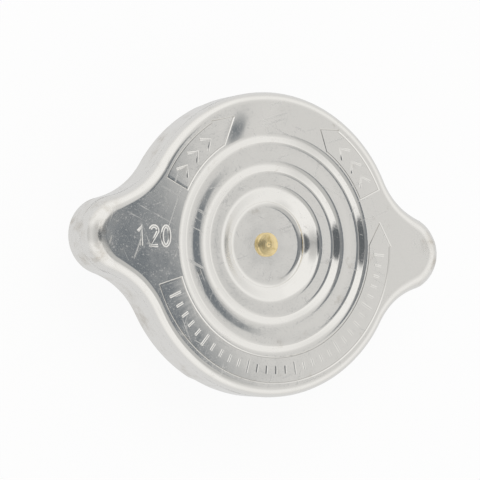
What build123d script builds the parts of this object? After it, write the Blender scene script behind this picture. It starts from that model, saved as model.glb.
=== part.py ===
from build123d import *
import os
from math import atan2, cos, degrees, radians, sin, sqrt

os.makedirs("parts", exist_ok=True)

# Twist-on pressure cap of a coolant tank.
# Millimetres, +Z up out of the cover, the ears along X.
# The origin is the centre of the underside of the pressure seal, on which the cap stands.

# Cover outline
cover_radius = 32.6
ear_reach = 44.5
ear_end_radius = 8.1
ear_blend_radius = 17.0

# Cover sheet
cover_sheet = 0.8
edge_radius = 2.2
skirt_depth = 9.6
notch_depth = 1.0
notch_half_angle = 27.0
crimp_half_angle = 5.0
crimp_angle = 50.0
crimp_reach = 2.0
ring_margin = 0.6

# Drawn rings and centre dish of the cover, by their radii and depths below the flat
outer_ring_start = 23.2
outer_ring_foot = 21.75
outer_ring_depth = 0.75
inner_ring_start = 17.2
inner_ring_foot = 15.55
inner_ring_depth = 1.55
dish_start = 11.8
dish_lip = 9.2
dish_lip_depth = 3.5
dish_depth = 5.0
dish_foot_radius = 0.7

# Coined arrow panels, angles from +X
panel_depth = 0.15
panel_inner = 24.0
panel_outer = 29.6
panel_flare = 0.35
long_panel_start = 199.5
long_panel_end = 362.0
long_panel_tip = 373.0
open_panel_start = 27.0
open_panel_end = 59.0
open_panel_tip = 67.6
close_panel_start = 155.5
close_panel_end = 124.0
close_panel_tip = 113.2
panel_tip_radius = 27.6

# Bayonet ring
bayonet_sheet = 1.2
bayonet_gap = 0.1
bayonet_flange_width = 5.3
bayonet_bend_radius = 0.4
bayonet_grip = 4.3
lug_reach = 6.3
lug_half_angle = 19.0
lug_corner_radius = 1.5

# Rim seal and the discs that carry it
valve_reach = 20.5
rim_seal_depth = 5.5
rim_seal_thickness = 1.6
rim_seal_width = 3.7
rim_seal_overlap = 1.6
rim_tongue_width = 1.0
diaphragm_sheet = 0.5
diaphragm_overhang = 0.4
diaphragm_hub_radius = 8.0
diaphragm_rim_width = 7.0
diaphragm_bend_radius = 1.5
retainer_sheet = 0.5
retainer_hub_margin = 1.0
retainer_lip_width = 1.9
retainer_lip_gap = 0.3
rubber_edge_radius = 0.4
gasket_thickness = 0.5
gasket_radius = 5.4

# Bores round shanks and tubes
close_fit = 0.05

# Overrun of cuts past the surface they open
cut_margin = 1.0

# Centre rivet
rivet_head_radius = 2.7
rivet_head_height = 1.0
rivet_crown = 0.45
rivet_pip_radius = 0.55
rivet_pip_depth = 0.35
rivet_shank_radius = 2.1
rivet_shoulder_radius = 3.2
rivet_flange_radius = 5.2
rivet_flange_thickness = 1.2
swivel_play = 0.1
swivel_fit = 0.06

# Spring bell
bell_sheet = 0.8
bell_radius = 15.8
bell_bend_radius = 1.6
claw_reach = 3.4
claw_half_angle = 16.0
claw_count = 4
window_half_angle = 22.0
window_foot = 2.6
window_head = 3.4
window_corner = 1.2

# Pressure valve
valve_sheet = 0.8
valve_lift = 2.0
plate_lip_height = 1.8
plate_lip_gap = 0.3
hat_gap = 2.6
seal_thickness = 2.4
seal_radius = 19.7
seal_fit = 0.2
spring_plate_gap = 0.6
spring_plate_lip = 1.2
clamp_sheet = 0.6
clamp_flange_width = 2.6
clamp_recess = 0.4
clamp_height = 3.2
clamp_fit = 0.05
pressed_bend_radius = 0.3

# Pressure spring
spring_wire = 2.0
spring_fit = 0.4
spring_turns = 2.0
spring_end_gap = 0.15
centres_per_turn = 12

# Vacuum valve
port_radius = 2.4
eyelet_wall = 0.6
eyelet_flange_radius = 5.0
eyelet_flange = 0.4
vacuum_seal_bore_gap = 0.3
vacuum_seal_edge_gap = 0.65
vacuum_seal_thickness = 1.1
vacuum_gap = 0.05
vacuum_disc_margin = 0.6
vacuum_disc_thickness = 0.8
disc_edge_radius = 0.3
stem_radius = 1.2
stem_head_radius = 2.1
stem_head_height = 0.6
vacuum_spring_wire = 0.5
vacuum_spring_coil_radius = 3.7
vacuum_spring_length = 3.6
vacuum_spring_turns = 3.0
vacuum_spring_end_gap = 0.08
cup_radius = 4.8
cup_sheet = 0.5
cup_lip = 0.9

# Radii that follow from the sizes above
bayonet_radius = cover_radius - cover_sheet - bayonet_gap
bayonet_flange_inner = bayonet_radius - bayonet_flange_width
lug_inner = bayonet_radius - lug_reach
lug_bend_end = bayonet_radius - 2 * (bayonet_sheet + bayonet_bend_radius)
rim_seal_outer = lug_inner + rim_seal_overlap
rim_seal_inner = rim_seal_outer - rim_seal_width
rim_tongue_inner = rim_seal_inner - rim_tongue_width
diaphragm_radius = rim_seal_outer + diaphragm_overhang
diaphragm_rim_inner = diaphragm_radius - diaphragm_rim_width
retainer_radius = rim_seal_inner - seal_fit
retainer_step_radius = retainer_radius - retainer_lip_width
spring_plate_radius = bell_radius - bell_sheet - spring_plate_gap
spring_coil_radius = spring_plate_radius - valve_sheet - spring_fit - spring_wire / 2
claw_inner = bell_radius - claw_reach
hat_radius = claw_inner - hat_gap
plate_radius = seal_radius + plate_lip_gap + valve_sheet
seal_bore = hat_radius + seal_fit
clamp_flange_radius = hat_radius + clamp_flange_width
clamp_outer = hat_radius - valve_sheet - clamp_fit
vacuum_seal_inner = eyelet_flange_radius + vacuum_seal_bore_gap
vacuum_seal_radius = clamp_outer - clamp_sheet - vacuum_seal_edge_gap
vacuum_disc_radius = vacuum_seal_radius - vacuum_disc_margin

# Heights that follow from the sizes above
plate_top = seal_thickness + valve_sheet
claw_bottom = plate_top + valve_lift
claw_top = claw_bottom + bell_sheet
hat_inside = claw_top - valve_sheet
spring_plate_top = claw_top + valve_sheet
cover_top = valve_reach + rim_seal_depth
cover_inside = cover_top - cover_sheet
skirt_bottom = cover_top - skirt_depth
dish_floor = cover_top - dish_depth
gasket_top = dish_floor - cover_sheet
hub_top = gasket_top - gasket_thickness
hub_bottom = hub_top - diaphragm_sheet
retainer_bottom = hub_bottom - retainer_sheet
bell_top = retainer_bottom - swivel_play
bell_inside = bell_top - bell_sheet
rivet_flange_top = bell_inside - swivel_play
rivet_flange_bottom = rivet_flange_top - rivet_flange_thickness
diaphragm_rim_bottom = valve_reach + rim_seal_thickness
bayonet_foot = skirt_bottom + cover_sheet
lug_top = valve_reach - bayonet_grip
lug_bottom = lug_top - bayonet_sheet
vacuum_seal_bottom = hat_inside - vacuum_seal_thickness
vacuum_disc_top = vacuum_seal_bottom - vacuum_gap
vacuum_disc_bottom = vacuum_disc_top - vacuum_disc_thickness
eyelet_top = spring_plate_top + eyelet_flange
cup_bottom = eyelet_top + vacuum_spring_length


def cover_outline(inset):
    """The cover's outline, round body and two ears, moved inwards by inset."""
    ear_centre = ear_reach - ear_end_radius
    to_body = cover_radius + ear_blend_radius
    to_ear = ear_end_radius + ear_blend_radius
    blend_x = (to_body**2 - to_ear**2 + ear_centre**2) / (2 * ear_centre)
    blend_y = sqrt(to_body**2 - blend_x**2)
    body_angle = degrees(atan2(blend_y, blend_x))
    ear_angle = degrees(atan2(blend_y, blend_x - ear_centre))
    with BuildSketch(mode=Mode.PRIVATE) as outline:
        with BuildLine():
            CenterArc((0, 0), cover_radius - inset, body_angle, 180 - 2 * body_angle)
            CenterArc((0, 0), cover_radius - inset, 180 + body_angle, 180 - 2 * body_angle)
            for side in (0, 180):
                centre = Vector(ear_centre, 0).rotate(Axis.Z, side)
                CenterArc(centre, ear_end_radius - inset, side - ear_angle, 2 * ear_angle)
                for up in (1, -1):
                    blend = Vector(blend_x, up * blend_y).rotate(Axis.Z, side)
                    first = side + 180 + up * body_angle
                    turn = up * (ear_angle - body_angle)
                    CenterArc(blend, ear_blend_radius + inset, first, turn)
        make_face()
    return outline.sketch


def sector(inner, outer, middle, half_angle):
    """A piece of a flat ring, from inner to outer radius, to either side of an angle."""
    with BuildSketch(mode=Mode.PRIVATE) as piece:
        with BuildLine():
            CenterArc((0, 0), inner, middle - half_angle, 2 * half_angle)
            CenterArc((0, 0), outer, middle - half_angle, 2 * half_angle)
            for edge in (middle - half_angle, middle + half_angle):
                Line(ring_point(inner, edge), ring_point(outer, edge))
        make_face()
    return piece.sketch


def ring_point(radius, angle):
    """The point at a radius and an angle from +X."""
    return (radius * cos(radians(angle)), radius * sin(radians(angle)))


def arrow_panel(start, end, tip):
    """A curved arrow between two radii, its band from start to end and its point at tip."""
    with BuildSketch(mode=Mode.PRIVATE) as panel:
        with BuildLine():
            CenterArc((0, 0), panel_inner, start, end - start)
            CenterArc((0, 0), panel_outer, start, end - start)
            Line(ring_point(panel_inner, start), ring_point(panel_outer, start))
            Polyline(
                ring_point(panel_inner, end),
                ring_point(panel_inner - panel_flare, end),
                ring_point(panel_tip_radius, tip),
                ring_point(panel_outer + panel_flare, end),
                ring_point(panel_outer, end),
            )
        make_face()
    return panel.sketch


def beside(radius):
    """A bore that a shank or tube of this radius just passes."""
    return radius + close_fit


# Hollow of the cover, under its sheet
with BuildPart() as cover_hollow:
    with BuildSketch(Plane.XY.offset(skirt_bottom)):
        add(cover_outline(cover_sheet))
    extrude(amount=skirt_depth - cover_sheet)
    fillet(cover_hollow.faces().sort_by(Axis.Z)[-1].edges(), radius=edge_radius - cover_sheet)

# Cover: drawn sheet with ears, skirt, rings, centre dish and coined arrow panels
with BuildPart() as cover:
    with BuildSketch(Plane.XY.offset(skirt_bottom)):
        add(cover_outline(0))
    extrude(amount=skirt_depth)
    fillet(cover.faces().sort_by(Axis.Z)[-1].edges(), radius=edge_radius)
    add(cover_hollow.part, mode=Mode.SUBTRACT)
    with BuildSketch(Plane.XY.offset(cover_inside)):
        Circle(outer_ring_start + ring_margin)
    extrude(amount=cover_sheet, mode=Mode.SUBTRACT)
    with BuildSketch(Plane.XZ):
        with BuildLine():
            inwards = (-1, 0)
            inner_flat = cover_top - inner_ring_depth
            outer_flat = cover_top - outer_ring_depth
            floor_edge = (dish_lip - dish_foot_radius, dish_floor)
            wall_foot = (dish_lip, dish_floor + dish_foot_radius)
            lip = (dish_lip, cover_top - dish_lip_depth)
            inner_foot = (inner_ring_foot, inner_flat)
            outer_foot = (outer_ring_foot, outer_flat)
            Line((0, dish_floor), floor_edge)
            TangentArc(floor_edge, wall_foot, tangent=(1, 0))
            Line(wall_foot, lip)
            TangentArc((dish_start, inner_flat), lip, tangent=inwards)
            Line((dish_start, inner_flat), inner_foot)
            TangentArc((inner_ring_start, outer_flat), inner_foot, tangent=inwards)
            Line((inner_ring_start, outer_flat), outer_foot)
            TangentArc((outer_ring_start, cover_top), outer_foot, tangent=inwards)
            Polyline(
                (outer_ring_start, cover_top),
                (cover_radius, cover_top),
                (cover_radius, 0),
                (0, 0),
                (0, dish_floor),
            )
        make_face()
        offset(amount=-cover_sheet, mode=Mode.SUBTRACT)
        with Locations((beside(rivet_shank_radius), gasket_top)):
            Rectangle(
                outer_ring_start + ring_margin - beside(rivet_shank_radius),
                cover_top - gasket_top,
                align=(Align.MIN, Align.MIN),
                mode=Mode.INTERSECT,
            )
    revolve(axis=Axis.Z)
    with BuildSketch(Plane.XY.offset(cover_top - panel_depth)):
        add(arrow_panel(long_panel_start, long_panel_end, long_panel_tip))
        add(arrow_panel(open_panel_start, open_panel_end, open_panel_tip))
        add(arrow_panel(close_panel_start, close_panel_end, close_panel_tip))
    extrude(amount=panel_depth, mode=Mode.SUBTRACT)
    with BuildSketch(Plane.XY.offset(skirt_bottom)):
        for side in (90, 270):
            add(sector(bayonet_radius - bayonet_sheet, cover_radius + cut_margin, side, notch_half_angle))
    extrude(amount=notch_depth, mode=Mode.SUBTRACT)
    with BuildSketch(Plane.XY.offset(skirt_bottom)):
        for side in (crimp_angle, 180 - crimp_angle, 180 + crimp_angle, -crimp_angle):
            crimp_outer = cover_radius - cover_sheet / 2
            add(sector(bayonet_radius - crimp_reach, crimp_outer, side, crimp_half_angle))
    extrude(amount=cover_sheet)

# Bayonet ring: flange under the cover, wall inside the skirt, two lugs under the neck's flange
with BuildPart() as bayonet_ring:
    with BuildSketch(Plane.XZ):
        with BuildLine():
            FilletPolyline(
                (bayonet_flange_inner, cover_inside),
                (bayonet_radius, cover_inside),
                (bayonet_radius, bayonet_foot),
                radius=bayonet_sheet + bayonet_bend_radius,
            )
            offset(amount=bayonet_sheet, side=Side.RIGHT)
        make_face()
    revolve(axis=Axis.Z)
    for side in (90, 270):
        with BuildSketch(Plane.XZ.rotated((0, 0, side - lug_half_angle))):
            with BuildLine():
                FilletPolyline(
                    (bayonet_radius, bayonet_foot + bayonet_sheet),
                    (bayonet_radius, lug_bottom),
                    (lug_bend_end, lug_bottom),
                    radius=bayonet_sheet + bayonet_bend_radius,
                )
                offset(amount=bayonet_sheet, side=Side.RIGHT)
            make_face()
        revolve(axis=Axis.Z, revolution_arc=2 * lug_half_angle)
        with BuildSketch(Plane.XY.offset(lug_bottom)) as lug:
            add(sector(lug_inner, lug_bend_end, side, lug_half_angle))
            lug_corners = lug.vertices().filter_by(
                lambda corner: Vector(corner.X, corner.Y).length < lug_inner + bayonet_sheet
            )
            fillet(lug_corners, radius=lug_corner_radius)
        extrude(amount=bayonet_sheet)

# Diaphragm spring: dished disc, clamped at its hub, its rim on the rim seal
with BuildPart() as diaphragm_spring:
    with BuildSketch(Plane.XZ):
        with BuildLine():
            FilletPolyline(
                (beside(rivet_shank_radius), hub_top),
                (diaphragm_hub_radius, hub_top),
                (diaphragm_rim_inner, diaphragm_rim_bottom + diaphragm_sheet),
                (diaphragm_radius, diaphragm_rim_bottom + diaphragm_sheet),
                radius=diaphragm_bend_radius,
            )
            offset(amount=diaphragm_sheet, side=Side.RIGHT)
        make_face()
    revolve(axis=Axis.Z)

# Seal retainer: disc under the diaphragm spring, its edge under the tongue of the rim seal
retainer_lip_top = valve_reach + retainer_lip_gap + retainer_sheet
with BuildPart() as seal_retainer:
    with BuildSketch(Plane.XZ):
        with BuildLine():
            FilletPolyline(
                (beside(rivet_shank_radius), hub_bottom),
                (diaphragm_hub_radius + retainer_hub_margin, hub_bottom),
                (retainer_step_radius, retainer_lip_top),
                (retainer_radius, retainer_lip_top),
                radius=diaphragm_bend_radius,
            )
            offset(amount=retainer_sheet, side=Side.RIGHT)
        make_face()
    revolve(axis=Axis.Z)

# Rim seal: rubber ring with a tongue held between the diaphragm spring and the retainer
with BuildPart() as rim_seal:
    with BuildSketch(Plane.XZ):
        with BuildLine():
            Polyline(
                (rim_seal_inner, valve_reach),
                (rim_seal_outer, valve_reach),
                (rim_seal_outer, diaphragm_rim_bottom),
                (rim_tongue_inner, diaphragm_rim_bottom),
                (rim_tongue_inner, retainer_lip_top),
                (rim_seal_inner, retainer_lip_top),
                close=True,
            )
        make_face()
    revolve(axis=Axis.Z)
    foot_edges = rim_seal.faces().sort_by(Axis.Z)[0].edges()
    fillet(foot_edges, radius=rubber_edge_radius)

# Rivet gasket: thin washer round the rivet, under the dish
with BuildPart() as rivet_gasket:
    with BuildSketch(Plane.XY.offset(hub_top)):
        Circle(gasket_radius)
        Circle(beside(rivet_shank_radius), mode=Mode.SUBTRACT)
    extrude(amount=gasket_thickness)

# Centre rivet: turned brass, head in the dish, shoulder on which the bell turns
rivet_head_top = dish_floor + rivet_head_height
with BuildPart() as centre_rivet:
    with BuildSketch(Plane.XZ):
        with BuildLine():
            Polyline(
                (0, rivet_head_top + rivet_crown - rivet_pip_depth),
                (0, rivet_flange_bottom),
                (rivet_flange_radius, rivet_flange_bottom),
                (rivet_flange_radius, rivet_flange_top),
                (rivet_shoulder_radius, rivet_flange_top),
                (rivet_shoulder_radius, retainer_bottom),
                (rivet_shank_radius, retainer_bottom),
                (rivet_shank_radius, dish_floor),
                (rivet_head_radius, dish_floor),
                (rivet_head_radius, rivet_head_top),
            )
            pip_edge = (rivet_pip_radius, rivet_head_top + rivet_crown)
            TangentArc(pip_edge, (rivet_head_radius, rivet_head_top), tangent=(1, 0))
            Line(pip_edge, (0, rivet_head_top + rivet_crown - rivet_pip_depth))
        make_face()
    revolve(axis=Axis.Z)

# Spring bell: roof on the rivet's shoulder, windows in the wall, claws under the spring plate
with BuildPart() as spring_bell:
    with BuildSketch(Plane.XZ):
        with BuildLine():
            FilletPolyline(
                (rivet_shoulder_radius + swivel_fit, bell_top),
                (bell_radius, bell_top),
                (bell_radius, claw_bottom),
                (claw_inner, claw_bottom),
                radius=bell_bend_radius,
            )
            offset(amount=bell_sheet, side=Side.RIGHT)
        make_face()
    revolve(axis=Axis.Z)
    claw_pitch = 360 / claw_count
    with BuildSketch(Plane.XY.offset(claw_bottom)):
        for claw in range(claw_count):
            between = claw * claw_pitch
            half_gap = claw_pitch / 2 - claw_half_angle
            add(sector(claw_inner - cut_margin, bell_radius + cut_margin, between, half_gap))
    extrude(amount=bell_bend_radius, mode=Mode.SUBTRACT)
    window_bottom = claw_top + window_foot
    window_height = bell_top - window_head - window_bottom
    window_width = 2 * bell_radius * sin(radians(window_half_angle))
    for turn in (0, claw_pitch):
        with BuildSketch(Plane.XZ.rotated((0, 0, turn))):
            with Locations((0, window_bottom + window_height / 2)):
                RectangleRounded(window_width, window_height, window_corner)
        extrude(amount=bell_radius + cut_margin, both=True, mode=Mode.SUBTRACT)

# Pressure plate: hat through the claws, flange over the pressure seal, lip round its edge
with BuildPart() as pressure_plate:
    with BuildSketch(Plane.XZ):
        with BuildLine():
            FilletPolyline(
                (beside(port_radius + eyelet_wall), claw_top),
                (hat_radius, claw_top),
                (hat_radius, plate_top),
                (plate_radius, plate_top),
                (plate_radius, plate_top - plate_lip_height),
                radius=(
                    valve_sheet + pressed_bend_radius,
                    pressed_bend_radius,
                    valve_sheet + pressed_bend_radius,
                ),
            )
            offset(amount=valve_sheet, side=Side.RIGHT)
        make_face()
    revolve(axis=Axis.Z)

# Pressure seal: rubber ring under the flange, rebated for the clamp ring
clamp_top = clamp_recess + clamp_sheet
with BuildPart() as pressure_seal:
    with BuildSketch(Plane.XZ):
        with BuildLine():
            Polyline(
                (clamp_flange_radius + seal_fit, 0),
                (seal_radius, 0),
                (seal_radius, seal_thickness),
                (seal_bore, seal_thickness),
                (seal_bore, clamp_top),
                (clamp_flange_radius + seal_fit, clamp_top),
                close=True,
            )
        make_face()
    revolve(axis=Axis.Z)
    seat_edge = pressure_seal.faces().sort_by(Axis.Z)[0].edges().sort_by(SortBy.LENGTH)[-1]
    fillet(seat_edge, radius=rubber_edge_radius)

# Seal clamp ring: pressed up inside the hat, its flange under the seal's inner edge
with BuildPart() as seal_clamp_ring:
    with BuildSketch(Plane.XZ):
        with BuildLine():
            FilletPolyline(
                (clamp_flange_radius, clamp_recess),
                (clamp_outer - clamp_sheet, clamp_recess),
                (clamp_outer - clamp_sheet, clamp_recess + clamp_height),
                radius=clamp_sheet + pressed_bend_radius,
            )
            offset(amount=clamp_sheet, side=Side.RIGHT)
        make_face()
    revolve(axis=Axis.Z)

# Spring plate: under the pressure spring, its turned-up edge guided by the bell
with BuildPart() as spring_plate:
    with BuildSketch(Plane.XZ):
        with BuildLine():
            FilletPolyline(
                (beside(port_radius + eyelet_wall), claw_top),
                (spring_plate_radius, claw_top),
                (spring_plate_radius, spring_plate_top + spring_plate_lip),
                radius=valve_sheet + pressed_bend_radius,
            )
            offset(amount=valve_sheet, side=Side.LEFT)
        make_face()
    revolve(axis=Axis.Z)

# Valve eyelet: joins the hat to the spring plate and is the port of the vacuum valve
with BuildPart() as valve_eyelet:
    with BuildSketch(Plane.XY.offset(hat_inside - eyelet_flange)):
        Circle(port_radius + eyelet_wall)
    extrude(amount=eyelet_top - hat_inside + eyelet_flange)
    with BuildSketch(Plane.XY.offset(hat_inside - eyelet_flange)):
        Circle(eyelet_flange_radius)
    extrude(amount=eyelet_flange)
    with BuildSketch(Plane.XY.offset(spring_plate_top)):
        Circle(eyelet_flange_radius)
    extrude(amount=eyelet_flange)
    with BuildSketch(Plane.XY.offset(hat_inside - eyelet_flange)):
        Circle(port_radius)
    extrude(amount=eyelet_top - hat_inside + eyelet_flange, mode=Mode.SUBTRACT)

# Vacuum seal: rubber ring under the roof of the hat, round the eyelet
with BuildPart() as vacuum_seal:
    with BuildSketch(Plane.XY.offset(vacuum_seal_bottom)):
        Circle(vacuum_seal_radius)
        Circle(vacuum_seal_inner, mode=Mode.SUBTRACT)
    extrude(amount=vacuum_seal_thickness)

# Vacuum disc: closes the port from below
with BuildPart() as vacuum_disc:
    with BuildSketch(Plane.XY.offset(vacuum_disc_bottom)):
        Circle(vacuum_disc_radius)
        Circle(beside(stem_radius), mode=Mode.SUBTRACT)
    extrude(amount=vacuum_disc_thickness)
    fillet(vacuum_disc.faces().sort_by(Axis.Z)[0].edges().sort_by(SortBy.LENGTH)[-1],
           radius=disc_edge_radius)

# Vacuum stem: turned pin with a head under the disc and a head over the cup
cup_top = cup_bottom + cup_sheet
with BuildPart() as vacuum_stem:
    with BuildSketch(Plane.XY.offset(vacuum_disc_bottom - stem_head_height)):
        Circle(stem_radius)
    extrude(amount=cup_top - vacuum_disc_bottom + 2 * stem_head_height)
    for head_foot in (vacuum_disc_bottom - stem_head_height, cup_top):
        with BuildSketch(Plane.XY.offset(head_foot)):
            Circle(stem_head_radius)
        extrude(amount=stem_head_height)
    for end in (vacuum_stem.faces().sort_by(Axis.Z)[0], vacuum_stem.faces().sort_by(Axis.Z)[-1]):
        fillet(end.edges(), radius=stem_head_height / 2)

# Vacuum spring cup: over the vacuum spring, its lip round the top coil
with BuildPart() as vacuum_spring_cup:
    with BuildSketch(Plane.XZ):
        with BuildLine():
            FilletPolyline(
                (beside(stem_radius), cup_top),
                (cup_radius, cup_top),
                (cup_radius, cup_bottom - cup_lip),
                radius=cup_sheet + pressed_bend_radius,
            )
            offset(amount=cup_sheet, side=Side.RIGHT)
        make_face()
    revolve(axis=Axis.Z)


def coil_spring(coil_radius, wire, bottom, top, active_turns, end_gap):
    """A coil spring whose first and last turns are closed and ground flat at bottom and top."""
    end_rise = wire + end_gap
    active_rise = (top - bottom - 2 * end_rise) / active_turns
    centres = []
    for step in range(round((active_turns + 2) * centres_per_turn) + 1):
        turn = step / centres_per_turn
        closed_below = min(turn, 1)
        active = min(max(turn - 1, 0), active_turns)
        closed_above = max(turn - 1 - active_turns, 0)
        height = bottom + end_rise * (closed_below + closed_above) + active_rise * active
        centres.append((*ring_point(coil_radius, 360 * turn), height))
    with BuildPart() as spring:
        with BuildLine():
            path = Spline(*centres)
        with BuildSketch(Plane(path @ 0, z_dir=path % 0)):
            Circle(wire / 2)
        sweep(path=path, is_frenet=True)
        with BuildSketch(Plane.XY.offset(bottom)):
            Circle(coil_radius + wire)
        extrude(amount=top - bottom, mode=Mode.INTERSECT)
    return spring.part


# Pressure spring: between the bell's roof and the spring plate
pressure_spring = coil_spring(
    spring_coil_radius, spring_wire, spring_plate_top, bell_inside, spring_turns, spring_end_gap
)

# Vacuum spring: between the eyelet and the cup
vacuum_spring = coil_spring(
    vacuum_spring_coil_radius,
    vacuum_spring_wire,
    eyelet_top,
    cup_bottom,
    vacuum_spring_turns,
    vacuum_spring_end_gap,
)

pieces = {
    "cover": cover.part,
    "bayonet_ring": bayonet_ring.part,
    "diaphragm_spring": diaphragm_spring.part,
    "seal_retainer": seal_retainer.part,
    "rim_seal": rim_seal.part,
    "rivet_gasket": rivet_gasket.part,
    "centre_rivet": centre_rivet.part,
    "spring_bell": spring_bell.part,
    "pressure_spring": pressure_spring,
    "spring_plate": spring_plate.part,
    "pressure_plate": pressure_plate.part,
    "pressure_seal": pressure_seal.part,
    "seal_clamp_ring": seal_clamp_ring.part,
    "valve_eyelet": valve_eyelet.part,
    "vacuum_seal": vacuum_seal.part,
    "vacuum_disc": vacuum_disc.part,
    "vacuum_stem": vacuum_stem.part,
    "vacuum_spring": vacuum_spring,
    "vacuum_spring_cup": vacuum_spring_cup.part,
}
for name, piece in pieces.items():
    piece.label = name
    export_step(piece, f"parts/{name}.step")
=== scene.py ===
import math

import bmesh
import bpy
from mathutils import Matrix, Vector


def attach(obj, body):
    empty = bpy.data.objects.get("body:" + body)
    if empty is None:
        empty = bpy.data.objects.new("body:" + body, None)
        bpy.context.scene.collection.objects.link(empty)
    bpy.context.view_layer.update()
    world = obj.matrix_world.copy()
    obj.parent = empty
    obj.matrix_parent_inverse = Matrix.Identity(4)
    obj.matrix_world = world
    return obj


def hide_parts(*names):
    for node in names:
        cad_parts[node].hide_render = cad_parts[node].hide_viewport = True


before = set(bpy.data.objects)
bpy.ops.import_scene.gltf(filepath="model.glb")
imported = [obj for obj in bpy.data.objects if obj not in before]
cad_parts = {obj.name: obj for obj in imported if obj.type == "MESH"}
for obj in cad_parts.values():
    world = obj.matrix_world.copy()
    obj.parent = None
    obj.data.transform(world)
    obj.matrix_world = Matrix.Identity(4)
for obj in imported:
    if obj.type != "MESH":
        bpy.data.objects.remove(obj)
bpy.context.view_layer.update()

MM = 0.001

# Sizes of the cover, in millimetres and degrees
COVER_TOP = 26.0
COVER_RADIUS = 32.6
EAR_REACH = 44.5
EAR_RADIUS = 8.1
BLEND_RADIUS = 17.0
SHEET = 0.8
SKIRT_BOTTOM = 16.4
NOTCH_DEPTH = 1.0
NOTCH_HALF = 27.0
NOTCH_RAMP = 1.4
NOTCH_MARGIN = 0.3
CRIMPS = (50.0, 130.0, 230.0, 310.0)
CRIMP_HALF = 5.0
CRIMP_INNER = 29.7
CRIMP_OUTER = COVER_RADIUS - 0.3
CRIMP_GAP = 0.02
RIVET_HOLE = 2.15
RING_END = 23.82

# Each ring: radius where the level ends, width of the shoulder, width of the straight wall, its slope,
# width of the hollow at the foot and the slight slope of the next level
RINGS = (
    (23.8, 1.10, 0.89, 25.0, 0.60, 1.5),
    (17.95, 1.30, 1.00, 25.0, 0.60, 0.0),
)

# Foot of each wall: slope and width of its short steep step, and the slope where the hollow begins
STEP_SLOPE = 62
STEP_WIDTH = 0.06
HOLLOW_SLOPE = 14

# A level with a slight slope turns up again this far before its end, over these widths
UPTURN_REACH = 2.15
UPTURN_WIDTHS = (0.5, 0.8, 0.5)

# Dish in the middle: where its shoulder begins, its radius, the height of its floor, and its bends. The
# floor lies higher than in the solids, as far down as the photograph shows it.
DISH_SHOULDER = 12.9
DISH_RADIUS = 9.15
DISH_LOW = 21.9
DISH_SLOPE = 30
DISH_BEND = 1.2
LIP_SLOPE = 24
LIP_END_SLOPE = 80
LIP_WIDTH = 0.1
LIP_GAP = 0.12
CORNER_WIDTH = 0.03
CORNER_HEIGHT = 0.28
FLOOR_SLOPE = 25
FLOOR_BEND = 1.25
FLAT_RADIUS = 5.0

# Under side of the sheet from the rivet hole outwards, radius and height
UNDER_PROFILE = (
    (RIVET_HOLE, 20.2), (9.5, 20.2), (10.0, 20.7), (10.0, 22.2), (11.4, 23.0), (12.6, 23.6), (16.4, 23.6),
    (17.7, 24.4), (22.4, 24.4), (23.4, 25.2), (RING_END, 25.2),
)
SPIN_STEPS = 256

# Rounding of the cover's edge, on the round part, beside the ears and at their tips
ROUND_BODY = 2.2
ROUND_EAR_SIDE = 2.7
ROUND_EAR_TIP = 4.0
ROUND_SIDE_X = (25, 35)
ROUND_TIP_X = (35, 44)
ROUND_STEPS = 9
ROUND_MARGIN = 0.12
INNER_ROUND_STEPS = 4
INNER_ROUND_LEAST = 0.5
INNER_ROUND_DROP = 0.4

# Faint line under the rounding and the rolled foot of the skirt, as inset and drop or rise
UNDER_ROUND = ((0.09, 0.22), (0.09, 0.34), (0.0, 0.62))
SKIRT_PARTS = (0.35, 0.7)
ROLLED_FOOT = ((0.0, 0.3), (0.06, 0.1), (0.22, 0.0), (0.58, 0.0), (0.74, 0.1), (0.8, 0.3))

# Coined arrow panels: angles of the tail, of the shoulders and of the tip, and the tip's radius
PANELS = (
    (199.5, 362.0, 373.0, 27.5),
    (27.0, 59.0, 67.6, 27.6),
    (155.5, 124.0, 113.2, 28.6),
)
PANEL_INNER = 24.1
PANEL_OUTER = 29.6
PANEL_MIDDLE = 27.0
PANEL_DEPTH = 0.19
PANEL_FLOOR = COVER_TOP - PANEL_DEPTH
PANEL_INNER_BARB = 0.15
PANEL_OUTER_BARB = 0.4
PANEL_STEP_ANGLE = 1.25
PANEL_LEAST_STEPS = 12
# Share of the inset's turn that moves the shoulders and the tip
SHOULDER_TURN = 0.15
TIP_TURN = 1.7
# Loops of a panel's wall, as inset from its outline and height over the flat
PANEL_STEPS = ((-0.15, 0.0), (0.0, -0.15), (0.08, -0.21), (0.24, -PANEL_DEPTH))

# Raised marks: the number on the ear, the scale and the angle marks. A stroke has a width and a height.
NUMBER = "120"
NUMBER_CORNER = (-33.2, -2.2)
NUMBER_LEAN = 3.2
DIGIT_HEIGHT = 4.0
DIGIT_WIDTH = 1.75
DIGIT_SPACING = 2.8
NUMBER_STROKE = (0.78, 0.15)
SCALE_SPAN = (206, 358)
SCALE_COUNT = 31
SCALE_RADII = (25.4, 28.2)
SCALE_SHORTER = 0.55
SCALE_LONG_EVERY = 5
SCALE_STROKE = (0.62, 0.12)
CHEVRON_RADII = (25.3, 26.85, 28.4)
CHEVRON_HALF = 2.2
CHEVRON_SPACING = 8.6
CHEVRON_COUNT = 3
CHEVRON_STROKE = (0.66, 0.12)
OPEN_MIDDLE = 43
CLOSE_MIDDLE = 139.5
STROKE_SIDE = 1.35

# Edges steeper than this, in degrees, are shaded sharp
COVER_SHARP = 32
RIVET_SHARP = 50


# Helpers for meshes
def piece_from(name, bm, material, body):
    """A finished smooth mesh object that rides on a body."""
    mesh = bpy.data.meshes.new(name)
    bm.normal_update()
    bm.to_mesh(mesh)
    bm.free()
    for polygon in mesh.polygons:
        polygon.use_smooth = True
    mesh.materials.append(material)
    piece = bpy.data.objects.new(name, mesh)
    bpy.context.scene.collection.objects.link(piece)
    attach(piece, body)
    return piece


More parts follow.
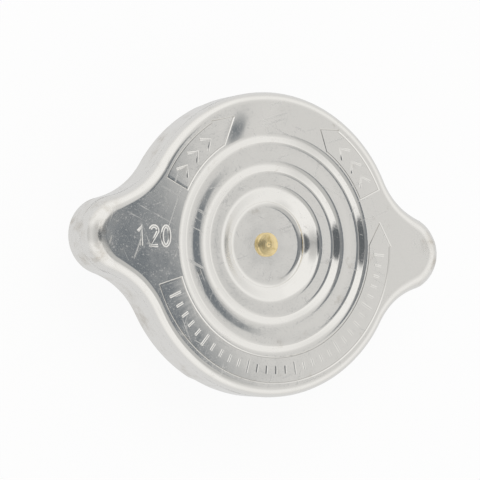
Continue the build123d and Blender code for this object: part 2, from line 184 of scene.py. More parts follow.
def to_metres(bm):
    bmesh.ops.scale(bm, verts=bm.verts, vec=(MM, MM, MM))


def bridge(bm, lower, upper):
    """Quads between two loops with the same number of vertices."""
    count = len(lower)
    for i in range(count):
        j = (i + 1) % count
        bm.faces.new((lower[i], lower[j], upper[j], upper[i]))


def edges_of(bm, loop):
    """The edges that already join the vertices of a closed loop."""
    return [bm.edges.get((loop[i], loop[(i + 1) % len(loop)])) for i in range(len(loop))]


def open_edges_at(bm, radius, height):
    """Edges with one face only that lie on a circle round the axis."""
    found = []
    for edge in bm.edges:
        if len(edge.link_faces) != 1:
            continue
        if all(abs(v.co.z - height) < 1e-4 and abs(v.co.xy.length - radius) < 1e-3 for v in edge.verts):
            found.append(edge)
    return found


def spin_profile(bm, profile, steps):
    """Turns a profile of radii and heights once round the axis."""
    verts = [bm.verts.new((r, 0, z)) for r, z in profile]
    edges = [bm.edges.new(pair) for pair in zip(verts, verts[1:])]
    bmesh.ops.spin(
        bm, geom=verts + edges, cent=(0, 0, 0), axis=(0, 0, 1), angle=2 * math.pi,
        steps=steps, use_merge=True, use_duplicate=False,
    )


def between(value, low, high):
    """Goes softly from 0 to 1 while the value goes from low to high."""
    part = min(1.0, max(0.0, (value - low) / (high - low)))
    return part * part * (3 - 2 * part)


def polar(radius, angle, z=0.0):
    turn = math.radians(angle)
    return Vector((radius * math.cos(turn), radius * math.sin(turn), z))


# Outline of the cover
def outline_points():
    """Points round the cover with their outward normals, anticlockwise from the right ear's tip."""
    ear_x = EAR_REACH - EAR_RADIUS
    to_body = COVER_RADIUS + BLEND_RADIUS
    to_ear = EAR_RADIUS + BLEND_RADIUS
    blend_x = (to_body**2 - to_ear**2 + ear_x**2) / (2 * ear_x)
    blend_y = math.sqrt(to_body**2 - blend_x**2)
    body_angle = math.degrees(math.atan2(blend_y, blend_x))
    ear_angle = math.degrees(math.atan2(blend_y, blend_x - ear_x))
    quarter = []

    def arc(centre, radius, first, last, steps, outward):
        for i in range(steps):
            direction = polar(1, first + (last - first) * i / steps)
            quarter.append((centre + radius * direction, direction * outward))

    arc(Vector((ear_x, 0, 0)), EAR_RADIUS, 0, ear_angle, 26, 1)
    arc(Vector((blend_x, blend_y, 0)), BLEND_RADIUS, 180 + ear_angle, 180 + body_angle, 22, -1)
    arc(Vector((0, 0, 0)), COVER_RADIUS, body_angle, 90, 52, 1)
    top = (Vector((0, COVER_RADIUS, 0)), Vector((0, 1, 0)))
    right_tip, rest = quarter[0], quarter[1:]

    def mirror(items, sx, sy):
        return [(Vector((p.x * sx, p.y * sy, 0)), Vector((n.x * sx, n.y * sy, 0))) for p, n in items]

    points = [right_tip] + rest + [top] + mirror(rest[::-1], -1, 1)
    points += mirror([right_tip], -1, 1) + mirror(rest, -1, -1) + mirror([top], 1, -1)
    points += mirror(rest[::-1], 1, -1)
    return points


def edge_round(point):
    """Radius of the rounding at an outline point."""
    side = between(abs(point.x), *ROUND_SIDE_X)
    tip = between(abs(point.x), *ROUND_TIP_X)
    return ROUND_BODY + (ROUND_EAR_SIDE - ROUND_BODY) * side + (ROUND_EAR_TIP - ROUND_EAR_SIDE) * tip


def inner_round(point):
    """Radius of the rounding inside the sheet."""
    return max(INNER_ROUND_LEAST, edge_round(point) - SHEET)


def skirt_foot(point):
    """Height of the skirt's lower edge at an outline point."""
    angle = math.degrees(math.atan2(abs(point.y), abs(point.x)))
    notch_end = 90 - NOTCH_HALF
    inside = between(angle, notch_end - NOTCH_RAMP / 2, notch_end + NOTCH_RAMP / 2)
    on_body = between(-point.length, -COVER_RADIUS - NOTCH_MARGIN, -COVER_RADIUS)
    return SKIRT_BOTTOM + NOTCH_DEPTH * inside * on_body


def skirt_height(point, part):
    """Height on the skirt at an outline point, a part of the way from the rounding to the rolled foot."""
    begin = COVER_TOP - edge_round(point) - UNDER_ROUND[-1][1]
    end = skirt_foot(point) + ROLLED_FOOT[0][1]
    return begin * (1 - part) + end * part


# Drawn rings and dish
def fall(points, first, last, width, steps):
    """Goes inwards by width while the slope down turns from first to last, in degrees."""
    radius, height = points[-1]
    begin = math.radians(first)
    turn = math.radians(last) - begin
    for i in range(1, steps + 1):
        part = i / steps
        if turn == 0:
            points.append((radius - width * part, height - width * part * math.tan(begin)))
            continue
        bend = width / (math.sin(begin + turn) - math.sin(begin))
        angle = begin + turn * part
        points.append((radius - bend * (math.sin(angle) - math.sin(begin)),
                       height - bend * (math.cos(begin) - math.cos(angle))))


def ring_profile():
    """The cover's upper surface from the flat inwards to the rivet hole, radius and height."""
    points = [(RING_END, COVER_TOP)]
    next_ends = [ring[0] for ring in RINGS[1:]] + [DISH_SHOULDER]
    for (level_end, shoulder, wall, slope, hollow, slight), next_end in zip(RINGS, next_ends):
        fall(points, 0, 0, points[-1][0] - level_end, 2)
        fall(points, 0, slope, shoulder, 12)
        fall(points, slope, slope, wall, 2)
        fall(points, slope, STEP_SLOPE, STEP_WIDTH, 4)
        fall(points, HOLLOW_SLOPE, slight, hollow, 6)
        if slight:
            fall(points, slight, 0, points[-1][0] - next_end - UPTURN_REACH, 6)
            fall(points, 0, -slight, UPTURN_WIDTHS[0], 4)
            fall(points, -slight, -slight, UPTURN_WIDTHS[1], 2)
            fall(points, -slight, 0, UPTURN_WIDTHS[2], 4)
    fall(points, 0, 0, points[-1][0] - DISH_SHOULDER, 2)
    fall(points, 0, DISH_SLOPE, DISH_BEND, 12)
    fall(points, DISH_SLOPE, DISH_SLOPE, DISH_BEND, 3)
    fall(points, DISH_SLOPE, LIP_SLOPE, points[-1][0] - DISH_RADIUS - LIP_GAP, 8)
    fall(points, LIP_SLOPE, LIP_END_SLOPE, LIP_WIDTH, 6)
    points.append((points[-1][0] - CORNER_WIDTH, DISH_LOW + CORNER_HEIGHT))
    fall(points, FLOOR_SLOPE, 0, FLOOR_BEND, 10)
    low = points[-1][1]
    # Two loops close to the hole keep the floor's shading flat
    points += [(radius, low) for radius in (FLAT_RADIUS, RIVET_HOLE + 0.15, RIVET_HOLE + 0.05)]
    points.append((RIVET_HOLE, low - 0.05))
    return points


# The cover, from loops of vertices and spun profiles
def edge_loops(bm):
    """Loops from the upper flat over the rounding, down the skirt, round its foot and back inside."""
    outline = outline_points()
    loops = []

    def add_loop(inset, height):
        """Adds a loop, its inset and height being functions of the outline point."""
        loops.append([bm.verts.new(p - n * inset(p) + Vector((0, 0, height(p)))) for p, n in outline])

    add_loop(lambda p: edge_round(p) + ROUND_MARGIN, lambda p: COVER_TOP)
    for i in range(ROUND_STEPS + 1):
        turn = math.pi / 2 * i / ROUND_STEPS
        add_loop(
            lambda p: edge_round(p) * (1 - math.sin(turn)),
            lambda p: COVER_TOP - edge_round(p) * (1 - math.cos(turn)),
        )
    for inset, drop in UNDER_ROUND:
        add_loop(lambda p: inset, lambda p: COVER_TOP - edge_round(p) - drop)
    for part in SKIRT_PARTS:
        add_loop(lambda p: 0.0, lambda p: skirt_height(p, part))
    for inset, rise in ROLLED_FOOT:
        add_loop(lambda p: inset, lambda p: skirt_foot(p) + rise)
    add_loop(lambda p: SHEET, lambda p: COVER_TOP - edge_round(p) - INNER_ROUND_DROP)
    for i in range(1, INNER_ROUND_STEPS + 1):
        turn = math.pi / 2 * i / INNER_ROUND_STEPS
        add_loop(
            lambda p: SHEET + inner_round(p) * (1 - math.cos(turn)),
            lambda p: COVER_TOP - SHEET - inner_round(p) * (1 - math.sin(turn)),
        )
    for upper, lower in zip(loops, loops[1:]):
        bridge(bm, lower, upper)
    return loops


def panel_loop(start, end, tip, tip_radius, inset, z):
    """Outline of a curved arrow, drawn in by inset."""
    way = 1 if end > start else -1
    inner = PANEL_INNER + inset
    outer = PANEL_OUTER - inset
    turn = math.degrees(inset / PANEL_MIDDLE) * way
    first = start + turn
    last = end + turn * SHOULDER_TURN
    steps = max(PANEL_LEAST_STEPS, int(abs(end - start) / PANEL_STEP_ANGLE))
    angles = [first + (last - first) * i / steps for i in range(steps + 1)]
    points = [polar(inner, a, z) for a in angles]
    points.append(polar(inner - PANEL_INNER_BARB, last, z))
    points.append(polar(tip_radius, tip - turn * TIP_TURN, z))
    points.append(polar(outer + PANEL_OUTER_BARB, last, z))
    points += [polar(outer, a, z) for a in reversed(angles)]
    return points if way > 0 else points[::-1]


def add_flats(bm, loops):
    """Fills the two flats, the upper one with the coined panels sunk in it."""
    rims = []
    floors = []
    for panel in PANELS:
        steps = [
            [bm.verts.new(p) for p in panel_loop(*panel, inset, COVER_TOP + z)] for inset, z in PANEL_STEPS
        ]
        for upper, lower in zip(steps, steps[1:]):
            bridge(bm, upper, lower)
        rims += edges_of(bm, steps[0])
        floors.append(edges_of(bm, steps[-1]))
    upper_rim = edges_of(bm, loops[0]) + open_edges_at(bm, RING_END, COVER_TOP)
    bmesh.ops.triangle_fill(bm, use_beauty=True, edges=upper_rim + rims, normal=(0, 0, 1))
    for floor_rim in floors:
        bmesh.ops.triangle_fill(bm, use_beauty=True, edges=floor_rim, normal=(0, 0, 1))
    lower_rim = edges_of(bm, loops[-1]) + open_edges_at(bm, RING_END, COVER_TOP - SHEET)
    bmesh.ops.triangle_fill(bm, use_beauty=True, edges=lower_rim, normal=(0, 0, 1))
    bmesh.ops.recalc_face_normals(bm, faces=bm.faces)


def add_crimps(bm):
    """Four tabs of the skirt, pressed in under the bayonet ring."""
    for middle in CRIMPS:
        inner, outer = (
            [polar(radius, middle + CRIMP_HALF * k / 6) for k in range(-6, 7)]
            for radius in (CRIMP_INNER, CRIMP_OUTER)
        )
        corners = inner + outer[::-1]
        face = bm.faces.new([bm.verts.new(c + Vector((0, 0, SKIRT_BOTTOM + CRIMP_GAP))) for c in corners])
        grown = bmesh.ops.extrude_face_region(bm, geom=[face])
        raised = [g for g in grown["geom"] if isinstance(g, bmesh.types.BMVert)]
        bmesh.ops.translate(bm, verts=raised, vec=(0, 0, SHEET - 2 * CRIMP_GAP))


def build_cover(material):
    """The pressed cover, one sheet with its rings, dish, panels, skirt and crimps."""
    bm = bmesh.new()
    top_profile = ring_profile()
    spin_profile(bm, top_profile, SPIN_STEPS)
    spin_profile(bm, UNDER_PROFILE, SPIN_STEPS)
    bmesh.ops.remove_doubles(bm, verts=bm.verts, dist=1e-5)
    hole_top = open_edges_at(bm, RIVET_HOLE, top_profile[-1][1])
    hole_foot = open_edges_at(bm, RIVET_HOLE, UNDER_PROFILE[0][1])
    bmesh.ops.bridge_loops(bm, edges=hole_top + hole_foot)
    add_flats(bm, edge_loops(bm))
    add_crimps(bm)
    to_metres(bm)
    piece = piece_from("pressed_cover", bm, material, "cap")
    piece.data.set_sharp_from_angle(angle=math.radians(COVER_SHARP))
    even_flats = piece.modifiers.new("even_flats", "WEIGHTED_NORMAL")
    even_flats.keep_sharp = True
    even_flats.weight = 90
    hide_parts("cover")


# Raised marks
def stroke_piece(name, strokes, material, z, width, height):
    """Raised flat-topped strokes, each a list of points on the cover and whether it is closed."""
    curve = bpy.data.curves.new(name + "_line", "CURVE")
    curve.dimensions = "3D"
    curve.bevel_depth = width / 2 * MM
    curve.bevel_resolution = 4
    curve.use_fill_caps = True
    for points, closed in strokes:
        spline = curve.splines.new("POLY")
        spline.points.add(len(points) - 1)
        for knot, point in zip(spline.points, points):
            knot.co = (point.x * MM, point.y * MM, 0, 1)
        spline.use_cyclic_u = closed
    holder = bpy.data.objects.new(name + "_line", curve)
    bpy.context.scene.collection.objects.link(holder)
    bpy.context.view_layer.update()
    mesh = bpy.data.meshes.new_from_object(holder.evaluated_get(bpy.context.evaluated_depsgraph_get()))
    bpy.data.objects.remove(holder)
    bm = bmesh.new()
    bm.from_mesh(mesh)
    # The round section becomes a flat top with sloped sides
    for vert in bm.verts:
        level = vert.co.z / (width / 2 * MM)
        sloped = STROKE_SIDE * (1 - math.sqrt(max(0.0, 1 - level * level)))
        vert.co.z = min(sloped, 1.0) * height * MM if level > 0 else level * height * MM
    bmesh.ops.translate(bm, verts=bm.verts, vec=(0, 0, z * MM))
    piece_from(name, bm, material, "cap")
    bpy.data.meshes.remove(mesh)


def arc_points(cx, cy, rx, ry, first, last, steps):
    points = []
    for i in range(steps + 1):
        a = math.radians(first + (last - first) * i / steps)
        points.append(Vector((cx + rx * math.cos(a), cy + ry * math.sin(a), 0)))
    return points


def digit(kind, x):
    """Points of one plain digit standing at x, in its own plane, and whether its stroke is closed."""
    half = DIGIT_WIDTH / 2
    if kind == "1":
        stem = x + DIGIT_WIDTH * 0.45
        corners = ((x, DIGIT_HEIGHT * 0.74, 0), (stem, DIGIT_HEIGHT, 0), (stem, 0, 0))
        return [Vector(corner) for corner in corners], False
    if kind == "2":
        top = arc_points(x + half, DIGIT_HEIGHT - half, half, half, 165, -35, 12)
        return top + [Vector((x, 0, 0)), Vector((x + DIGIT_WIDTH, 0, 0))], False
    return arc_points(x + half, DIGIT_HEIGHT / 2, half, DIGIT_HEIGHT / 2, 0, 345, 23), True


def ear_number():
    """A plain number on the left ear, upright in the camera's view."""
    lean = math.radians(NUMBER_LEAN)
    across = Vector((math.cos(lean), math.sin(lean), 0))
    upward = Vector((-math.sin(lean) * 0.6, math.cos(lean), 0))
    corner = Vector((*NUMBER_CORNER, 0))
    strokes = []
    for place, kind in enumerate(NUMBER):
        points, closed = digit(kind, place * DIGIT_SPACING)
        strokes.append(([corner + across * p.x + upward * p.y for p in points], closed))
    return strokes


def scale_marks():
    """Radial marks of a plain scale."""
    first, last = SCALE_SPAN
    low, high = SCALE_RADII
    strokes = []
    for i in range(SCALE_COUNT):
        angle = first + (last - first) * i / (SCALE_COUNT - 1)
        shorter = 0.0 if i % SCALE_LONG_EVERY == 0 else SCALE_SHORTER
        strokes.append(([polar(low + shorter, angle), polar(high - shorter, angle)], False))
    return strokes


def chevrons(middle, way):
    """Plain angle marks round the middle angle, that point along an arrow."""
    inner, tip, outer = CHEVRON_RADII
    reach = way * CHEVRON_HALF
    strokes = []
    for i in range(CHEVRON_COUNT):
        base = middle + (i - (CHEVRON_COUNT - 1) / 2) * CHEVRON_SPACING
        strokes.append(([
            polar(inner, base - reach), polar(tip, base + reach), polar(outer, base - reach),
        ], False))
    return strokes


def build_rivet(material):
    """Turned rivet with a low button head that has a centre pit."""
    seat = DISH_LOW + 0.02
    rim = seat + 0.72
    crown = rim + 0.3
    # Centre pit, then the domed top of the head
    profile = [(0.0, crown - 0.22), (0.25, crown - 0.2), (0.42, crown - 0.1), (0.55, crown - 0.02)]
    dome_steps = 18
    for i in range(1, dome_steps + 1):
        part = i / dome_steps
        profile.append((0.55 + 1.8 * part, crown - 0.02 - 0.24 * part * part))
    # Rounded edge of the head, its seat, the shank and the collar
    profile += [(2.46, rim + 0.02), (2.56, rim - 0.05), (2.6, rim - 0.16), (2.56, rim - 0.34)]
    profile += [(2.4, seat + 0.12), (2.34, seat), (2.1, seat), (2.1, 18.7), (3.2, 18.7), (3.2, 17.7)]
    profile += [(5.1, 17.7), (5.2, 17.6), (5.2, 16.62), (5.08, 16.5), (0.6, 16.5), (0.0, 16.65)]
    bm = bmesh.new()
    spin_profile(bm, profile, 96)
    bmesh.ops.remove_doubles(bm, verts=bm.verts, dist=1e-5)
    bmesh.ops.recalc_face_normals(bm, faces=bm.faces)
    to_metres(bm)
    piece = piece_from("turned_rivet", bm, material, "cap")
    piece.data.set_sharp_from_angle(angle=math.radians(RIVET_SHARP))
    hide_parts("centre_rivet")


# Helpers for shader nodes. A value is either the output of a node or a plain number or tuple.
def feed(tree, socket, value):
    if hasattr(value, "is_output"):
        tree.links.new(value, socket)
    else:
        socket.default_value = value


def node(tree, kind, inputs=None, **settings):
    """A new node with its settings and the values of its inputs."""
    made = tree.nodes.new(kind)
    for key, value in settings.items():
        setattr(made, key, value)
    for key, value in (inputs or {}).items():
        feed(tree, made.inputs[key], value)
    return made


def maths(tree, operation, first, second=0.0):
    return node(tree, "ShaderNodeMath", {0: first, 1: second}, operation=operation).outputs[0]


def add(tree, first, second):
    return maths(tree, "ADD", first, second)


def subtract(tree, first, second):
    return maths(tree, "SUBTRACT", first, second)


def times(tree, first, second):
    return maths(tree, "MULTIPLY", first, second)


def either(tree, first, second):
    return maths(tree, "MAXIMUM", first, second)


def ramp(tree, source, low, high, from_value, to_value):
    """Goes softly from one value to the other while the source goes from low to high."""
    made = node(tree, "ShaderNodeMapRange", {
        "Value": source, "From Min": low, "From Max": high, "To Min": from_value, "To Max": to_value,
    }, interpolation_type="SMOOTHSTEP")
    return made.outputs["Result"]


def mix_colour(tree, factor, first, second):
    def colour(value):
        return value if hasattr(value, "is_output") else (*value, 1)

    made = node(tree, "ShaderNodeMix", data_type="RGBA")
    for socket, value in ((0, factor), (6, colour(first)), (7, colour(second))):
        feed(tree, made.inputs[socket], value)
    return made.outputs[2]


def noise(tree, source, scale, detail=4.0, rough=0.55, stretch=None, turn=0.0):
    """Noise over object coordinates, turned and drawn out if asked. The scale is per metre."""
    if stretch:
        source = node(tree, "ShaderNodeMapping", {
            "Vector": source, "Rotation": (0, 0, turn), "Scale": stretch,
        }, vector_type="TEXTURE").outputs["Vector"]
    made = node(tree, "ShaderNodeTexNoise", {
        "Vector": source, "Scale": scale, "Detail": detail, "Roughness": rough,
    })
    return made.outputs["Fac"]


def length(tree, vector):
    return node(tree, "ShaderNodeVectorMath", {0: vector}, operation="LENGTH").outputs["Value"]


def axes(tree, vector):
    """The three parts of a vector."""
    return node(tree, "ShaderNodeSeparateXYZ", {0: vector}).outputs


def bump(tree, shader, height):
    """Bump from a height in metres."""
    made = node(tree, "ShaderNodeBump", {"Strength": 1.0, "Distance": 1.0, "Height": height})
    feed(tree, shader.inputs["Normal"], made.outputs["Normal"])


def new_material(name, metallic=1.0):
    """A material with its node tree, its shader and the object coordinates."""
    material = bpy.data.materials.new(name)
    material.use_nodes = True
    tree = material.node_tree
    tree.nodes.clear()
    shader = node(tree, "ShaderNodeBsdfPrincipled", {"Metallic": metallic})
    node(tree, "ShaderNodeOutputMaterial", {"Surface": shader.outputs["BSDF"]})
    return material, tree, shader, node(tree, "ShaderNodeTexCoord").outputs["Object"]


# Materials. Lengths and places in them are in metres.
SCRATCH_TURNS = ((0.35, 0.0), (1.25, 0.13), (2.0, 0.29), (2.75, 0.41))
# Colour of the painted shade in the grooves round the coined panels
GROOVE_SHADE_COLOUR = (0.30, 0.285, 0.26)
# Dent beside the small left arrow: place, turn, half lengths and height
DENT_PLACE = (-0.0066, 0.0260, 0.026)
DENT_TURN = math.radians(50)
DENT_SIZE = (0.0100, 0.0050, 0.01)
DENT_HEIGHT = 1.75e-4


def hairlines(tree, coords):
    """Short fine scratches in four directions, from 0 to 1."""
    total = None
    for turn, shift in SCRATCH_TURNS:
        shifted = node(tree, "ShaderNodeMapping", {
            "Vector": coords, "Location": (shift, shift * 0.7, shift * 1.9),
        }).outputs[0]
        line = noise(tree, shifted, 1700, 0, 0.5, stretch=(26.0, 1.0, 1.0), turn=turn)
        broken = noise(tree, shifted, 160, 1)
        line = times(tree, ramp(tree, line, 0.70, 0.78, 0.0, 1.0), ramp(tree, broken, 0.52, 0.60, 0.0, 1.0))
        total = line if total is None else either(tree, total, line)
    return total


def cover_marks(tree, coords):
    """What only the cover has: rubbed ears, a patchier skirt and dish, painted shade in the grooves round
    the coined panels, a dull middle and a dent.
    """
    across, _, height = axes(tree, coords)
    flat = node(tree, "ShaderNodeVectorMath", {0: coords, 1: (1, 1, 0)}, operation="MULTIPLY")
    radius = length(tree, flat.outputs[0])
    ears = ramp(tree, maths(tree, "ABSOLUTE", across), 0.035, 0.042, 0.0, 0.5)
    # The skirt and, less, the dish are darker in more patches
    low = times(tree, ramp(tree, height, 0.024, 0.020, 0.0, 0.4), ramp(tree, radius, 0.012, 0.020, 0.2, 1.0))
    # Painted shade lies in the moat where the walls of the coined panels go below the panels' floor
    groove_shade = ramp(tree, height, 0.025809, 0.025799, 0.0, 0.5)
    for edge, inside in ((0.02385, 0.0239), (0.0305, 0.0302)):
        groove_shade = times(tree, groove_shade, ramp(tree, radius, edge, inside, 0.0, 1.0))
    middle = ramp(tree, radius, 0.006, 0.003, 0.0, 0.05)
    in_dent = node(tree, "ShaderNodeMapping", {
        "Vector": coords, "Location": DENT_PLACE, "Rotation": (0, 0, DENT_TURN), "Scale": DENT_SIZE,
    }, vector_type="TEXTURE")
    dent = ramp(tree, length(tree, in_dent.outputs[0]), 0.0, 1.0, DENT_HEIGHT, 0.0)
    return ears, either(tree, ears, low), groove_shade, middle, dent


def pressed_steel(name, colour, stain, shine, uneven, is_cover=False):
    """Bright pressed sheet: slightly uneven, with fine specks, short scratches and faint stains."""
    material, tree, shader, coords = new_material(name)
    soft = noise(tree, coords, 90, 2)
    speck = noise(tree, coords, 3000, 2, 0.6)
    dots = noise(tree, coords, 2600, 1, 0.5)
    stains = noise(tree, coords, 230, 5, 0.65)
    scratch = hairlines(tree, coords)

    stained = ramp(tree, stains, 0.60, 0.76, 0.0, 0.5)
    rough = ramp(tree, stains, 0.3, 0.7, shine, shine + 0.05)
    rough = add(tree, rough, ramp(tree, dots, 0.57, 0.77, 0.0, 0.12))
    rough = add(tree, rough, times(tree, scratch, 0.18))
    height = times(tree, soft, 1.2e-5 * uneven)
    height = add(tree, height, times(tree, speck, 5e-7 * uneven))
    height = subtract(tree, height, times(tree, scratch, 5e-7))
    if is_cover:
        ears, ears_and_low, groove_shade, middle, dent = cover_marks(tree, coords)
        # The ears, the skirt and the dish take the darker colour in more patches
        stained = add(tree, stained, times(tree, ears_and_low, ramp(tree, stains, 0.46, 0.68, 0.0, 1.0)))
        # The grooves round the coined panels get painted shade
        painted = mix_colour(tree, groove_shade, mix_colour(tree, stained, colour, stain), GROOVE_SHADE_COLOUR)
        rough = add(tree, add(tree, rough, times(tree, ears, 0.14)), middle)
        height = add(tree, height, dent)
    else:
        painted = mix_colour(tree, stained, colour, stain)
    feed(tree, shader.inputs["Base Color"], painted)
    feed(tree, shader.inputs["Roughness"], rough)
    bump(tree, shader, height)
    return material


def turned_brass(name, colour, dark):
    """Brass with fine rings from the lathe."""
    material, tree, shader, coords = new_material(name)
    x, y, _ = axes(tree, coords)
    radius = maths(tree, "SQRT", add(tree, maths(tree, "POWER", x, 2.0), maths(tree, "POWER", y, 2.0)))
    mottled = noise(tree, coords, 900, 4)
    height = times(tree, mottled, 4e-6)
    for pitch, depth in ((0.00042, 3.5e-6), (0.00013, 1.2e-6)):
        rings = maths(tree, "SINE", times(tree, radius, 2 * math.pi / pitch))
        height = add(tree, height, times(tree, rings, depth))
    painted = mix_colour(tree, ramp(tree, mottled, 0.45, 0.75, 0.0, 0.7), colour, dark)
    feed(tree, shader.inputs["Base Color"], painted)
    feed(tree, shader.inputs["Roughness"], ramp(tree, mottled, 0.3, 0.7, 0.12, 0.26))
    bump(tree, shader, height)
    return material


def drawn_wire(name, colour):
    """Spring wire, darker and duller in streaks."""
    material, tree, shader, coords = new_material(name)
    streaks = noise(tree, coords, 1500, 4, 0.6)
    dark = tuple(c * 0.55 for c in colour)
    painted = mix_colour(tree, ramp(tree, streaks, 0.35, 0.7, 0.0, 1.0), colour, dark)
    feed(tree, shader.inputs["Base Color"], painted)
    feed(tree, shader.inputs["Roughness"], ramp(tree, streaks, 0.3, 0.7, 0.25, 0.5))
    bump(tree, shader, times(tree, streaks, 3e-6))
    return material


def moulded_rubber(name):
    """Black rubber with a faint grey bloom."""
    material, tree, shader, coords = new_material(name, metallic=0.0)
    grain = noise(tree, coords, 3500, 4, 0.6)
    bloom = noise(tree, coords, 260, 4, 0.6)
    bloomed = ramp(tree, bloom, 0.4, 0.75, 0.0, 1.0)
    feed(tree, shader.inputs["Base Color"],
         mix_colour(tree, bloomed, (0.022, 0.022, 0.024), (0.06, 0.06, 0.058)))
    feed(tree, shader.inputs["Roughness"], ramp(tree, bloom, 0.3, 0.7, 0.5, 0.68))
    bump(tree, shader, times(tree, grain, 8e-6))
    return material


# The object: the cover, the rivet and the marks are built here, the other pieces keep their solids
cover_steel = pressed_steel(
    "bright_pressed_steel", (0.90, 0.89, 0.865), (0.62, 0.58, 0.52), 0.075, 1.0, is_cover=True,
)
ring_steel = pressed_steel("zinc_plated_steel", (0.74, 0.73, 0.70), (0.52, 0.48, 0.41), 0.22, 2.0)
valve_steel = pressed_steel("plated_valve_steel", (0.78, 0.74, 0.63), (0.55, 0.48, 0.36), 0.18, 1.6)
disc_steel = pressed_steel("spring_disc_steel", (0.70, 0.70, 0.69), (0.46, 0.45, 0.43), 0.16, 1.4)
rivet_brass = turned_brass("rivet_brass", (0.90, 0.74, 0.42), (0.62, 0.47, 0.20))
valve_brass = turned_brass("valve_brass", (0.84, 0.66, 0.36), (0.55, 0.40, 0.20))
spring_steel = drawn_wire("spring_wire", (0.42, 0.42, 0.41))
rubber = moulded_rubber("black_rubber")

for names, material in (
    (("bayonet_ring", "spring_bell"), ring_steel),
    (("spring_plate", "pressure_plate", "seal_clamp_ring"), valve_steel),
    (("diaphragm_spring", "seal_retainer"), disc_steel),
    (("valve_eyelet", "vacuum_disc", "vacuum_stem", "vacuum_spring_cup"), valve_brass),
    (("pressure_spring", "vacuum_spring"), spring_steel),
    (("rim_seal", "rivet_gasket", "pressure_seal", "vacuum_seal"), rubber),
):
    for name in names:
        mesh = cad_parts[name].data
        mesh.materials.clear()
        mesh.materials.append(material)

build_cover(cover_steel)
build_rivet(rivet_brass)
stroke_piece("ear_number", ear_number(), cover_steel, COVER_TOP, *NUMBER_STROKE)
stroke_piece("scale_marks", scale_marks(), cover_steel, PANEL_FLOOR, *SCALE_STROKE)
stroke_piece("open_marks", chevrons(OPEN_MIDDLE, 1), cover_steel, PANEL_FLOOR, *CHEVRON_STROKE)
stroke_piece("close_marks", chevrons(CLOSE_MIDDLE, -1), cover_steel, PANEL_FLOOR, *CHEVRON_STROKE)

# Floor: white for the camera and in reflections, a plain surface for all other light
floor_mesh = bpy.data.meshes.new("floor")
bm = bmesh.new()
bmesh.ops.create_grid(bm, x_segments=1, y_segments=1, size=3.0)
bm.to_mesh(floor_mesh)
bm.free()
floor = bpy.data.objects.new("floor", floor_mesh)
bpy.context.scene.collection.objects.link(floor)
floor_material = bpy.data.materials.new("white_floor")
floor_material.use_nodes = True
tree = floor_material.node_tree
tree.nodes.clear()
ray = node(tree, "ShaderNodeLightPath").outputs
seen_clean = either(tree, ray["Is Camera Ray"], ray["Is Glossy Ray"])
seen_clean = either(tree, seen_clean, ray["Is Transmission Ray"])
diffuse = node(tree, "ShaderNodeBsdfDiffuse", {"Color": (0.88, 0.88, 0.88, 1)})
glow = node(tree, "ShaderNodeEmission", {
    "Strength": subtract(tree, 1.0, times(tree, ray["Is Glossy Ray"], 0.27)),
})
share = node(tree, "ShaderNodeMixShader", {
    0: times(tree, seen_clean, 0.93), 1: diffuse.outputs[0], 2: glow.outputs[0],
})
node(tree, "ShaderNodeOutputMaterial", {"Surface": share.outputs[0]})
floor_mesh.materials.append(floor_material)

# World: a bright tent. Overhead it has an opening and a lens, each an oval with its middle and half
# lengths on a level plane one unit up.
OPENING = ((0.232, -0.103), (0.369, 0.428))
LENS = ((-0.27, 0.0), (0.20, 0.19))
TENT_COLOUR = (1.0, 0.992, 0.975)
DEEP_COLOURS = ((0.25, 0.26, 0.27), (0.165, 0.185, 0.205))
DEEP_SIDE_COLOUR = (0.54, 0.54, 0.53)
LENS_COLOUR = (0.12, 0.13, 0.14)

world = bpy.data.worlds.new("tent")
bpy.context.scene.world = world
world.use_nodes = True
tree = world.node_tree
tree.nodes.clear()
east, north, upright = axes(tree, node(tree, "ShaderNodeTexCoord").outputs["Generated"])
climb = either(tree, upright, 0.02)
overhead = (maths(tree, "DIVIDE", east, climb), maths(tree, "DIVIDE", north, climb))


def over_oval(middle, half):
    """Squared distance from the middle of an oval overhead, 1 on its edge."""
    squares = [
        maths(tree, "POWER", maths(tree, "DIVIDE", subtract(tree, value, centre), size), 2.0)
        for value, centre, size in zip(overhead, middle, half)
    ]
    return add(tree, *squares)


# Brightness of the tent: lower overhead and near the floor, with a dim patch on the west
side = ramp(tree, upright, 0.84, 0.60, 0.0, 0.20)
near = ramp(tree, east, 0.35, -0.10, 0.0, 0.25)
level = maths(tree, "MINIMUM", add(tree, add(tree, side, near), 0.69), 0.93)
beside = ramp(tree, maths(tree, "ABSOLUTE", north), 0.60, 0.15, 0.0, 1.0)
dim = times(tree, ramp(tree, east, -0.34, -0.46, 0.0, 0.38), beside)
dim = subtract(tree, dim, ramp(tree, east, -0.60, -0.95, 0.0, 0.16))
level = subtract(tree, level, either(tree, dim, 0.0))
level = subtract(tree, level, ramp(tree, upright, 0.45, 0.0, 0.0, 0.14))
tent = mix_colour(tree, level, (0.0, 0.0, 0.0), TENT_COLOUR)

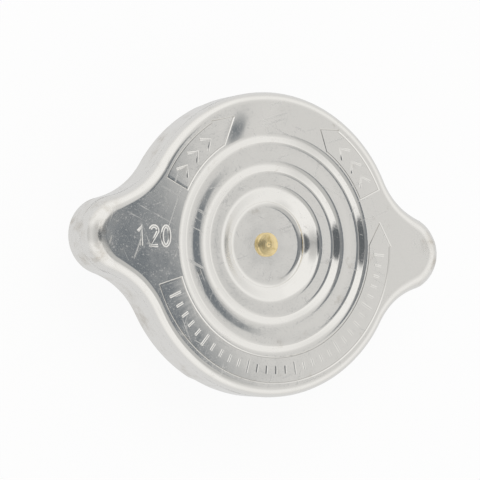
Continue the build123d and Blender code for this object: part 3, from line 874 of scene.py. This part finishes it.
# The opening is darkest on the east and lighter towards its north and south ends
deep = mix_colour(tree, ramp(tree, overhead[0], 0.30, 0.46, 0.0, 1.0), *DEEP_COLOURS)
off_middle = maths(tree, "ABSOLUTE", subtract(tree, overhead[1], 0.10))
deep = mix_colour(tree, ramp(tree, off_middle, 0.12, 0.21, 0.0, 1.0), deep, DEEP_SIDE_COLOUR)
seen = mix_colour(tree, ramp(tree, over_oval(*OPENING), 0.94, 1.03, 1.0, 0.0), tent, deep)
seen = mix_colour(tree, ramp(tree, over_oval(*LENS), 0.75, 1.3, 1.0, 0.0), seen, LENS_COLOUR)
camera_ray = node(tree, "ShaderNodeLightPath").outputs["Is Camera Ray"]
back = node(tree, "ShaderNodeBackground", {"Color": mix_colour(tree, camera_ray, seen, (1, 1, 1))})
node(tree, "ShaderNodeOutputWorld", {"Surface": back.outputs[0]})

lamp_data = bpy.data.lights.new("soft_key", "AREA")
lamp_data.shape = "DISK"
lamp_data.size = 0.5
lamp_data.energy = 1.2
lamp = bpy.data.objects.new("soft_key", lamp_data)
lamp.location = (-0.25, 0.35, 0.75)
lamp.rotation_euler = (Vector((0, 0, 0.02)) - lamp.location).to_track_quat("-Z", "Y").to_euler()
lamp.visible_glossy = False
bpy.context.scene.collection.objects.link(lamp)

# Camera where the photograph's stood, solved from the circles of the cover
CAMERA_PLACE = (-0.2122, -0.0257, 0.3642)
CAMERA_RIGHT = (0.8560, 0.02703, 0.5163)
CAMERA_FORWARD = (0.5138, 0.0658, -0.8554)
camera_data = bpy.data.cameras.new("camera")
camera_data.sensor_width = 36.0
camera_data.lens = 141.0
camera_data.clip_start = 0.01
camera = bpy.data.objects.new("camera", camera_data)
bpy.context.scene.collection.objects.link(camera)
forward = Vector(CAMERA_FORWARD).normalized()
up = Vector(CAMERA_RIGHT).normalized().cross(forward).normalized()
right = forward.cross(up).normalized()
turned = Matrix((right, up, -forward)).transposed().to_4x4()
camera.matrix_world = Matrix.Translation(CAMERA_PLACE) @ turned
bpy.context.scene.camera = camera
bpy.context.scene.view_settings.view_transform = "Standard"
